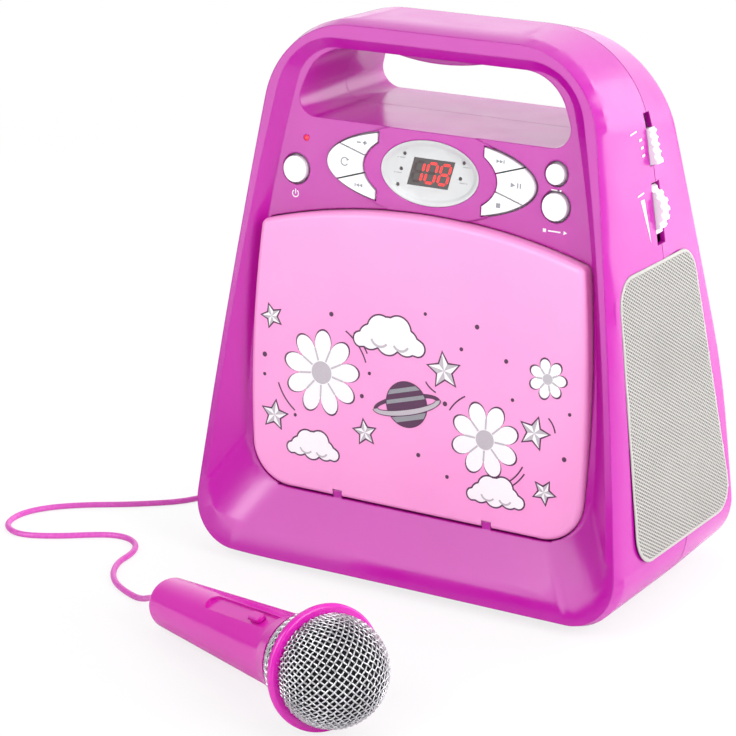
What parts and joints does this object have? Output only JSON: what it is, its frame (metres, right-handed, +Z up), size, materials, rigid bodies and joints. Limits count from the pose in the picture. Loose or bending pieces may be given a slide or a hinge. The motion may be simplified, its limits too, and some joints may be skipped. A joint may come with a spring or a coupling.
{
  "type": "karaoke machine with disc tray",
  "caption": "Upright karaoke machine with a handle tunnel, a front disc door, side speakers, a key panel with an oval display and a corded microphone lying in front.",
  "frame": {"origin": "on the floor, under the middle of the plane where the front and rear shells meet", "axes": "-Y is the machine's front, +X its right side as seen from the front, +Z up"},
  "size_m": [0.3417, 0.4277, 0.2705],
  "materials": {
    "body_plastic": "gloss",
    "door_plastic": "satin",
    "well_plastic": "matte",
    "fascia_plastic": "satin",
    "white_plastic": "gloss",
    "window_plastic": "gloss",
    "black_plastic": "matte",
    "clear_red_plastic": "gloss",
    "board": "satin",
    "grille_metal": "satin",
    "black_metal": "satin",
    "ferrite": "matte",
    "cone_paper": "matte",
    "steel": "satin",
    "lens_glass": "gloss",
    "black_rubber": "matte",
    "mic_plastic": "gloss",
    "mesh_metal": "satin",
    "cord_plastic": "satin"
  },
  "bodies": {
    "cabinet": {"front_shell": "body_plastic", "rear_shell": "body_plastic", "disc_well": "well_plastic", "deck_plate": "steel", "deck_dampers": "black_rubber", "spindle_motor": "steel", "guide_rods": "steel", "feed_motor": "steel", "display_fascia": "fascia_plastic", "display_window": "window_plastic", "digit_module": "black_plastic", "indicator_leds": "clear_red_plastic", "power_led": "clear_red_plastic", "key_board": "board", "key_switches": "black_plastic", "main_board": "board", "side_board": "board", "left_grille": "grille_metal", "right_grille": "grille_metal", "speaker_baskets": "black_metal", "speaker_magnets": "ferrite", "speaker_cones": "cone_paper", "battery_contacts": "steel", "dc_socket": "black_plastic", "mic_sockets": "black_plastic", "usb_socket": "steel", "rubber_feet": "black_rubber", "case_screws": "steel", "volume_pot": "steel", "function_switch": "steel", "door_hinge_pins": "steel", "cord_run": "cord_plastic", "cord_coil": "cord_plastic", "cord_lead": "cord_plastic", "mic_plug": "mic_plastic"},
    "door": {"disc_door": "door_plastic"},
    "hub": {"spindle_hub": "black_plastic"},
    "sled": {"pickup_sled": "black_plastic", "pickup_lens": "lens_glass"},
    "screw": {"feed_screw": "steel"},
    "volume": {"volume_wheel": "white_plastic"},
    "function": {"function_knob": "white_plastic"},
    "hatch": {"battery_door": "body_plastic"},
    "microphone": {"mic_body": "mic_plastic", "mic_gland": "mic_plastic", "mic_basket": "mesh_metal", "mic_ring": "mic_plastic", "mic_grille": "mesh_metal", "mic_capsule": "black_plastic"},
    "mic_switch": {"mic_switch_knob": "mic_plastic"},
    "key_left_upper": {"key_left_upper": "white_plastic"},
    "key_left_middle": {"key_left_middle": "white_plastic"},
    "key_left_lower": {"key_left_lower": "white_plastic"},
    "key_right_upper": {"key_right_upper": "white_plastic"},
    "key_right_middle": {"key_right_middle": "white_plastic"},
    "key_right_lower": {"key_right_lower": "white_plastic"},
    "key_left_round": {"key_left_round": "white_plastic"},
    "key_right_small": {"key_right_small": "white_plastic"},
    "key_right_large": {"key_right_large": "white_plastic"}
  },
  "joints": [
    {"name": "door_hinge", "type": "hinge", "parent": "cabinet", "child": "door", "pos_m": [0, -0.0572, 0.0406], "axis": [1, 0, 0], "range_deg": [0, 45]},
    {"name": "disc_spin", "type": "hinge", "parent": "cabinet", "child": "hub", "pos_m": [0, -0.04438, 0.10727], "axis": [0, -0.9962, 0.0872], "continuous": true},
    {"name": "sled_slide", "type": "slide", "parent": "cabinet", "child": "sled", "axis": [1, 0, 0], "range_m": [0, 0.032]},
    {"name": "feed_screw_turn", "type": "hinge", "parent": "cabinet", "child": "screw", "pos_m": [0.005, -0.03666, 0.09455], "axis": [1, 0, 0], "range_deg": [0, 1920]},
    {"name": "volume_turn", "type": "hinge", "parent": "cabinet", "child": "volume", "pos_m": [0.08851, 0, 0.187], "axis": [0, 1, 0], "range_deg": [-140, 140]},
    {"name": "function_slide", "type": "slide", "parent": "cabinet", "child": "function", "axis": [-0.2588, 0, 0.9659], "range_m": [0, 0.007]},
    {"name": "battery_door_pull", "type": "slide", "parent": "cabinet", "child": "hatch", "axis": [0, 1, 0], "range_m": [0, 0.025]},
    {"name": "mic_lift", "type": "slide", "parent": "cabinet", "child": "microphone", "axis": [0, 0, 1], "range_m": [0, 0.06]},
    {"name": "mic_switch_slide", "type": "slide", "parent": "microphone", "child": "mic_switch", "axis": [-0.8826, 0.4405, -0.1642], "range_m": [0, 0.004]},
    {"name": "key_left_upper_press", "type": "slide", "parent": "cabinet", "child": "key_left_upper", "axis": [0, 0.9962, -0.0872], "range_m": [0, 0.0008], "stiffness_N_per_m": 500, "springref_m": -0.001},
    {"name": "key_left_middle_press", "type": "slide", "parent": "cabinet", "child": "key_left_middle", "axis": [0, 0.9962, -0.0872], "range_m": [0, 0.0008], "stiffness_N_per_m": 500, "springref_m": -0.001},
    {"name": "key_left_lower_press", "type": "slide", "parent": "cabinet", "child": "key_left_lower", "axis": [0, 0.9962, -0.0872], "range_m": [0, 0.0008], "stiffness_N_per_m": 500, "springref_m": -0.001},
    {"name": "key_right_upper_press", "type": "slide", "parent": "cabinet", "child": "key_right_upper", "axis": [0, 0.9962, -0.0872], "range_m": [0, 0.0008], "stiffness_N_per_m": 500, "springref_m": -0.001},
    {"name": "key_right_middle_press", "type": "slide", "parent": "cabinet", "child": "key_right_middle", "axis": [0, 0.9962, -0.0872], "range_m": [0, 0.0008], "stiffness_N_per_m": 500, "springref_m": -0.001},
    {"name": "key_right_lower_press", "type": "slide", "parent": "cabinet", "child": "key_right_lower", "axis": [0, 0.9962, -0.0872], "range_m": [0, 0.0008], "stiffness_N_per_m": 500, "springref_m": -0.001},
    {"name": "key_left_round_press", "type": "slide", "parent": "cabinet", "child": "key_left_round", "axis": [0, 0.9962, -0.0872], "range_m": [0, 0.0008], "stiffness_N_per_m": 500, "springref_m": -0.001},
    {"name": "key_right_small_press", "type": "slide", "parent": "cabinet", "child": "key_right_small", "axis": [0, 0.9962, -0.0872], "range_m": [0, 0.0008], "stiffness_N_per_m": 500, "springref_m": -0.001},
    {"name": "key_right_large_press", "type": "slide", "parent": "cabinet", "child": "key_right_large", "axis": [0, 0.9962, -0.0872], "range_m": [0, 0.0008], "stiffness_N_per_m": 500, "springref_m": -0.001}
  ],
  "couplings": [
    {"joint": "feed_screw_turn", "follows": "sled_slide", "rad_per_m": 1047.2}
  ]
}
